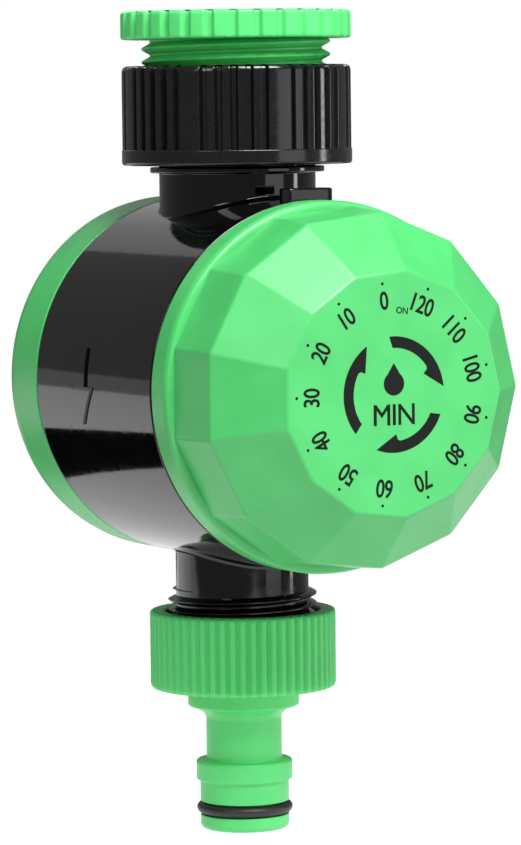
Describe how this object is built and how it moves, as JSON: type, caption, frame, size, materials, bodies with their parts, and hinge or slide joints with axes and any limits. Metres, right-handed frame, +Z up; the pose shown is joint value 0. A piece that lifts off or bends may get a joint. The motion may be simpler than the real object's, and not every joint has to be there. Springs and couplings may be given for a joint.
{
  "type": "tap water timer",
  "caption": "Clockwork tap timer for drip irrigation: swivel nut with thread adapter on top, round valve body with a many-sided dial, and a click-on hose spigot below.",
  "frame": {"origin": "centre of the tap adapter's top mouth, on the axis of the water pipe", "axes": "+Z up along the water pipe towards the tap, -Y the way the dial faces, +X to the right seen from the dial"},
  "size_m": [0.0636, 0.0812, 0.1432],
  "materials": {
    "green_plastic": "satin moulded ABS, spring green",
    "black_plastic": "glossy moulded ABS, black",
    "rubber": "moulded nitrile rubber",
    "white_plastic": "natural acetal",
    "steel": "turned stainless steel",
    "brass": "stamped and cut brass"
  },
  "bodies": {
    "case": {"valve_body": "black_plastic", "rear_cover": "green_plastic", "rear_cover_screw_1": "steel", "rear_cover_screw_2": "steel", "rear_cover_screw_3": "steel", "rear_cover_screw_4": "steel", "chamber_cap": "black_plastic", "chamber_seal": "rubber", "cap_screw_1": "steel", "cap_screw_2": "steel", "cap_screw_3": "steel", "valve_seat": "rubber", "spring_washer": "steel", "shaft_seal": "rubber", "gland_bush": "white_plastic", "inlet_sleeve": "black_plastic", "inlet_strainer": "white_plastic", "inlet_washer": "rubber", "clock_back_plate": "brass", "clock_front_plate": "brass", "clock_pillar_1": "brass", "clock_pillar_2": "brass", "clock_pillar_3": "brass", "clock_screw_1": "steel", "clock_screw_2": "steel", "clock_screw_3": "steel", "mainspring": "steel"},
    "dial": {"dial": "green_plastic", "drive_shaft": "steel", "great_wheel": "brass", "valve_rotor": "white_plastic", "valve_spring": "steel"},
    "second_train": {"second_arbor": "steel", "second_wheel": "brass"},
    "third_train": {"third_arbor": "steel", "third_wheel": "brass"},
    "escape_train": {"escape_arbor": "steel", "escape_wheel": "brass"},
    "balance": {"balance_staff": "steel", "balance_wheel": "brass", "pallet_lever": "steel"},
    "nut": {"inlet_nut": "black_plastic"},
    "adapter_washer": {"tap_washer": "rubber"},
    "adapter": {"thread_adapter": "green_plastic"},
    "connector_washer": {"connector_washer": "rubber"},
    "connector": {"hose_connector": "green_plastic", "connector_oring": "rubber"}
  },
  "joints": [
    {"name": "dial_turn", "type": "hinge", "parent": "case", "child": "dial", "pos_m": [0, 0, -0.064], "axis": [0, 1, 0], "range_deg": [-7.45, 338.7]},
    {"name": "second_train_turn", "type": "hinge", "parent": "case", "child": "second_train", "pos_m": [0.01362, 0, -0.06896], "axis": [0, 1, 0], "range_deg": [-1693.5, 37.25]},
    {"name": "third_train_turn", "type": "hinge", "parent": "case", "child": "third_train", "pos_m": [0.01264, 0, -0.05692], "axis": [0, 1, 0], "range_deg": [-149, 6774]},
    {"name": "escape_train_turn", "type": "hinge", "parent": "case", "child": "escape_train", "pos_m": [0.00289, 0, -0.0498], "axis": [0, 1, 0], "range_deg": [-27096, 596]},
    {"name": "balance_swing", "type": "hinge", "parent": "case", "child": "balance", "pos_m": [-0.00887, 0, -0.05254], "axis": [0, 1, 0], "range_deg": [-12, 12]},
    {"name": "nut_turn", "type": "hinge", "parent": "case", "child": "nut", "pos_m": [0, 0, 0], "axis": [0, 0, 1], "continuous": true},
    {"name": "adapter_rise", "type": "slide", "parent": "nut", "child": "adapter_washer", "axis": [0, 0, 1], "range_m": [0, 0.00924]},
    {"name": "adapter_turn", "type": "hinge", "parent": "adapter_washer", "child": "adapter", "pos_m": [0, 0, 0], "axis": [0, 0, 1], "range_deg": [0, 1440]},
    {"name": "connector_drop", "type": "slide", "parent": "case", "child": "connector_washer", "axis": [0, 0, -1], "range_m": [0, 0.00907]},
    {"name": "connector_turn", "type": "hinge", "parent": "connector_washer", "child": "connector", "pos_m": [0, 0, 0], "axis": [0, 0, -1], "range_deg": [0, 1800]}
  ],
  "couplings": [
    {"joint": "second_train_turn", "follows": "dial_turn", "ratio": -5},
    {"joint": "third_train_turn", "follows": "dial_turn", "ratio": 20},
    {"joint": "escape_train_turn", "follows": "dial_turn", "ratio": -80},
    {"joint": "adapter_rise", "follows": "adapter_turn", "m_per_rad": 0.00036749},
    {"joint": "connector_drop", "follows": "connector_turn", "m_per_rad": 0.00028871}
  ]
}
